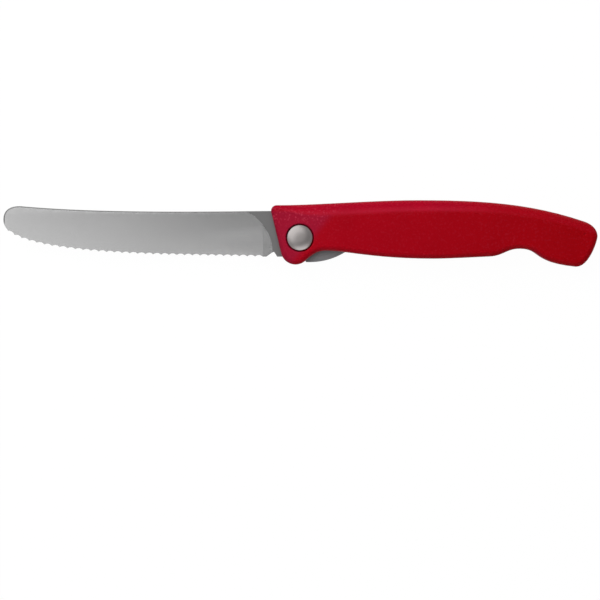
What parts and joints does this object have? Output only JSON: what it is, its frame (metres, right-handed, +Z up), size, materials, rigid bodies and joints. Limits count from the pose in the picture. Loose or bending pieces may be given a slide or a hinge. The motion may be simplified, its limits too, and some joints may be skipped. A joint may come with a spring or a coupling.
{
  "type": "folding paring knife",
  "caption": "Folding paring knife: a round-ended serrated steel blade swings out of a slotted red plastic handle on a domed rivet and is held by a spring leaf lock.",
  "frame": {"origin": "centre of the bottom of the box around the open knife, on the surface that it lies on", "axes": "+X along the knife to the butt of the handle, +Y to the back of the blade, +Z up out of the front side"},
  "size_m": [0.2374, 0.0266, 0.013],
  "materials": {
    "red_plastic": "matte moulded plastic with a fine grain",
    "blade_steel": "satin ground faces, dull mill finish on the tang",
    "spring_steel": "dull blued grey",
    "rivet_steel": "satin turned",
    "washer_brass": "plain rolled"
  },
  "bodies": {
    "handle": {"handle_front_scale": "red_plastic", "handle_rear_scale": "red_plastic", "spine_spacer": "red_plastic", "pivot_pin": "rivet_steel", "pivot_sleeve": "rivet_steel", "washer_front": "washer_brass", "washer_rear": "washer_brass", "stop_pin": "spring_steel", "leaf_rivet_front": "spring_steel", "leaf_rivet_rear": "spring_steel"},
    "blade": {"blade": "blade_steel"},
    "lock_leaf": {"lock_leaf": "spring_steel"}
  },
  "joints": [
    {"name": "blade_fold", "type": "hinge", "parent": "handle", "child": "blade", "pos_m": [-0.00015, -0.00176, 0.0065], "axis": [0, 0, 1], "range_deg": [0, 180]},
    {"name": "lock_flex", "type": "hinge", "parent": "handle", "child": "lock_leaf", "pos_m": [0.05785, -0.00176, 0.0042], "axis": [0, 1, 0], "range_deg": [0, 1.13], "stiffness_Nm_per_rad": 0.5, "springref_deg": 1.38}
  ]
}
